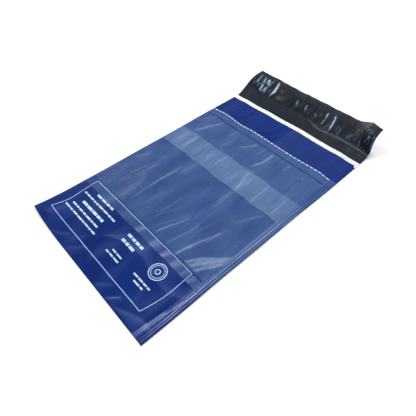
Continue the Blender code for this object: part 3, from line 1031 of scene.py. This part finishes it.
def surfaceOf(piece):
    return BVHTree.FromPolygons(
        [vert.co.copy() for vert in piece.data.vertices],
        [tuple(face.vertices) for face in piece.data.polygons],
    )


printed = {
    "film": 0.02,
    "lift": 0.03,  # above the film it lies on
    "castFrom": 60,  # a height above the whole bag
    "cell": 1.0,
    "left": (  # the frame line, up its left side and down its right
        *((-89.9, 17), (-88, 25), (-85.8, 34), (-85.6, 45)),
        *((-87.0, 56), (-88.1, 66), (-87.8, 74.2)),
    ),
    "right": ((77.3, 73.7), (77.8, 60), (78.7, 45), (77.2, 30), (74.6, 16.6)),
    "line": 0.8,
    "rows": [  # middle of each row of plain bars, its width and its height
        (-53, 62.6, 32, 2.4),
        (-53, 55, 60, 1.9),
        (-52, 46, 40, 3.0),
        (-53, 37.8, 52, 2.0),
        (-52.5, 31.2, 61, 1.8),
        (12, 56.4, 24, 3.0),
        (11.2, 48.6, 21.5, 3.0),
        (11.5, 34.8, 15, 1.6),
        (12, 30, 24, 1.6),
        (54, 34.8, 28, 1.7),
        (53, 30.2, 14, 1.7),
    ],
    "barGap": 1.2,
    "barLengths": (3.5, 9.0),
    "barLeast": 2.5,  # no bar starts nearer than this to the end of its row
    "rings": ((8.8, 0.85, 44), (6.7, 0.55, 36), (2.4, 0.8, 18)),  # radius, line and steps
    "ringPlace": (54.5, 51.6),
    "dash": 3.9,  # the perforation's dashes, and how far in from the film's end they lie
    "dashPitch": 5.88,
    "dashStart": -99.6,
    "dashInset": 0.85,
}


def layMarks(name, marks, surface, material):  # flat marks that follow a film
    bm = bmesh.new()
    for x, along, width, height, turn in marks:
        steps = max(1, int(np.ceil(width / printed["cell"])))
        rise = max(1, int(np.ceil(height / printed["cell"])))
        made = bmesh.ops.create_grid(bm, x_segments=steps, y_segments=rise, size=0.5)["verts"]
        bmesh.ops.scale(bm, vec=(width, height, 1), verts=made)
        bmesh.ops.rotate(bm, cent=(0, 0, 0), matrix=Matrix.Rotation(turn, 3, "Z"), verts=made)
        bmesh.ops.translate(bm, vec=(x, along, 0), verts=made)
    ring = [vert.co.copy() for vert in bm.verts]
    flat = lay(np.array([p.x for p in ring]), np.array([p.y for p in ring]), np.zeros(len(ring)))
    for vert, place in zip(bm.verts, flat):
        start = Vector((place[0], place[1], printed["castFrom"])) * mm
        hit = surface.ray_cast(start, Vector((0, 0, -1)))
        vert.co = hit[0] + Vector((0, 0, printed["lift"] * mm))
    piece = newPiece(name, bm)
    piece.data.materials.append(material)
    thicken(piece, printed["film"])
    return piece


def barRow(draw, middle, along, width, height):
    marks = []
    x = middle - width / 2
    end = middle + width / 2
    while x < end - printed["barLeast"]:
        bar = min(draw.uniform(*printed["barLengths"]), end - x)
        marks.append((x + bar / 2, along, bar, height, 0.0))
        x += bar + printed["barGap"]
    return marks


def frameMarks():
    marks = []
    line = [*curve(printed["left"]), *curve(printed["right"]), printed["left"][0]]
    for (x0, a0), (x1, a1) in zip(line, line[1:]):
        length = np.hypot(x1 - x0, a1 - a0) + printed["line"] * 0.5
        turn = np.arctan2(a1 - a0, x1 - x0)
        marks.append(((x0 + x1) / 2, (a0 + a1) / 2, length, printed["line"], turn))
    return marks


def barMarks():
    marks = []
    draw = np.random.default_rng(5)
    for row in printed["rows"]:
        marks += barRow(draw, *row)
    middle, level = printed["ringPlace"]
    for radius, line, count in printed["rings"]:
        for k in range(count):
            turn = 2 * np.pi * k / count
            place = (middle + radius * np.cos(turn), level + radius * np.sin(turn))
            marks.append((*place, 2 * np.pi * radius / count + 0.2, line, turn + np.pi / 2))
    return marks


def perforation():
    draw = np.random.default_rng(19)
    marks = []
    place = printed["dashStart"]
    while place < bag["width"] / 2 - 8:
        low = max(place - printed["dash"] / 2, 1.2 - bag["width"] / 2)
        high = place + printed["dash"] / 2
        middle = (low + high) / 2
        level = pocket["upperEnd"] - printed["dashInset"] + waveOf(middle, pocket["upperWave"])
        turn = (waveOf(high, pocket["upperWave"]) - waveOf(low, pocket["upperWave"])) / (high - low)
        marks.append((middle, level, high - low, 1.0 + draw.uniform(-0.1, 0.2), turn))
        place += printed["dashPitch"]
    return marks


print("materials")
printedFilm = printedMaterial()
blackFilm = blackMaterial()
whiteFilm = whiteMaterial()
clearFilm = clearMaterial()
linerFilm = linerMaterial()
adhesive = adhesiveMaterial()
whiteInk = inkMaterial("whiteInk")
dashInk = inkMaterial("dashInk")
frameInk = inkMaterial("frameInk")

print("folded bag film")
bagFilm = makeBagFilm([printedFilm, blackFilm, whiteFilm, blackFilm])
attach(bagFilm, "root")
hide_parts("bag_film")

print("clear pocket films")
lowerKeys = [pocket["lowerStart"], pocket["lapEnd"]] + sealKeys(pocket["lowerSeal"])
lowerFilm = makeClearFilm("lowerPocketFilm", lowerKeys, lowerHeight, lowerShift, lowerHazeAndSheen, clearFilm)
upperKeys = [pocket["upperEnd"]] + sealKeys(pocket["upperSeal"])
for edge in (pocket["lapStart"], pocket["lapEnd"]):
    upperKeys += [edge, edge + pocket["lapRow"]]
upperFilm = makeClearFilm("upperPocketFilm", upperKeys, upperHeight, upperShift, upperHazeAndSheen, clearFilm)
for piece, node in ((lowerFilm, "lower_pocket_film"), (upperFilm, "upper_pocket_film")):
    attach(piece, "root")
    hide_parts(node)

print("adhesive and release liner")
adhesiveStrip = makeFlapLayer("adhesiveStrip", "adhesive", adhesiveRise, adhesiveStain, adhesive)
liner = makeFlapLayer("releaseLiner", "liner", linerRise, linerShine, linerFilm)
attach(adhesiveStrip, "root")
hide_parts("adhesive_strip")
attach(liner, "root")
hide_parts("release_liner")

print("print and perforation")
bagSurface = surfaceOf(bagFilm)
for name, marks, ink in (("frameMarks", frameMarks(), frameInk), ("barMarks", barMarks(), whiteInk)):
    piece = layMarks(name, marks, bagSurface, ink)
    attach(piece, "root")
dashes = layMarks("perforationMarks", perforation(), surfaceOf(upperFilm), dashInk)
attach(dashes, "root")

print("floor, lights and camera")
studio = {
    "floorSize": 6.0,  # metres, as are the places and sizes below
    "floorTone": (0.93, 0.93, 0.93, 1),
    "floorGlow": (0.16, 0.60),  # near the bag, and far from it
    "glowReach": (0.40, 1.10),  # from the middle
    "fill": 0.55,
    "lamps": [  # place, watts and size
        ((0.05, 0.33, 1.10), 4.5, 0.26),
        ((-1.20, 0.35, 0.45), 6.0, 0.30),
        ((-0.50, -0.90, 0.90), 4.0, 0.60),
    ],
}


def makeFloor():
    bm = bmesh.new()
    bmesh.ops.create_grid(bm, x_segments=1, y_segments=1, size=studio["floorSize"] / 2)
    floor = newPiece("floor", bm)
    material, tree, shader = newMaterial("floorPaint")
    shader.inputs["Base Color"].default_value = studio["floorTone"]
    setGloss(shader, {"gloss": 0.9, "specular": 0.0})
    shader.inputs["Emission Color"].default_value = (1, 1, 1, 1)
    place = addNode(tree, "ShaderNodeTexCoord")
    distance = addNode(tree, "ShaderNodeVectorMath", operation="LENGTH")
    tree.links.new(place.outputs["Object"], distance.inputs[0])
    glow = rangeOf(tree, distance.outputs["Value"], *studio["floorGlow"], *studio["glowReach"])
    seen = rayIs(tree, "Is Camera Ray", "Is Glossy Ray")
    tree.links.new(productOf(tree, seen, glow), shader.inputs["Emission Strength"])
    floor.data.materials.append(material)


def makeWorld():
    world = bpy.data.worlds.new("studioWorld")
    bpy.context.scene.world = world
    world.use_nodes = True
    tree = world.node_tree
    tree.nodes.clear()
    seen = rayIs(tree, "Is Camera Ray", "Is Glossy Ray", "Is Transmission Ray")
    light = addNode(tree, "ShaderNodeBackground", {"Color": (1, 1, 1, 1)})
    out = addNode(tree, "ShaderNodeOutputWorld")
    tree.links.new(rangeOf(tree, seen, studio["fill"], 1.0, 0.0, 1.0), light.inputs["Strength"])
    tree.links.new(light.outputs["Background"], out.inputs["Surface"])


def makeLamp(index, place, watts, size):
    data = bpy.data.lights.new(f"softbox{index}", "AREA")
    data.energy = watts
    data.size = size
    lamp = bpy.data.objects.new(f"softbox{index}", data)
    lamp.location = place
    lamp.rotation_mode = "QUATERNION"
    lamp.rotation_quaternion = (-Vector(place)).to_track_quat("-Z", "Y")
    bpy.context.scene.collection.objects.link(lamp)


view = {
    "place": (224.06, -184.53, 301.54),  # millimetres from the middle of the bag
    "forward": (-0.49458, 0.42202, -0.75979),
    "up": (-0.55244, 0.52224, 0.64968),
    "focalPixels": 373.87,
    "imagePixels": 416.0,
    "sensor": 36.0,
    "clipStart": 10.0,
}


def makeCamera():
    data = bpy.data.cameras.new("camera")
    data.sensor_width = view["sensor"]
    data.lens = view["sensor"] * view["focalPixels"] / view["imagePixels"]
    data.clip_start = view["clipStart"] * mm
    camera = bpy.data.objects.new("camera", data)
    forward = Vector(view["forward"]).normalized()
    right = forward.cross(Vector(view["up"])).normalized()
    upward = right.cross(forward)
    turn = Matrix((right, upward, -forward)).transposed().to_4x4()
    camera.matrix_world = Matrix.Translation(Vector(view["place"]) * mm) @ turn
    bpy.context.scene.collection.objects.link(camera)
    bpy.context.scene.camera = camera


makeFloor()
makeWorld()
for index, lamp in enumerate(studio["lamps"]):
    makeLamp(index, *lamp)
makeCamera()
bpy.context.scene.view_settings.view_transform = "Standard"
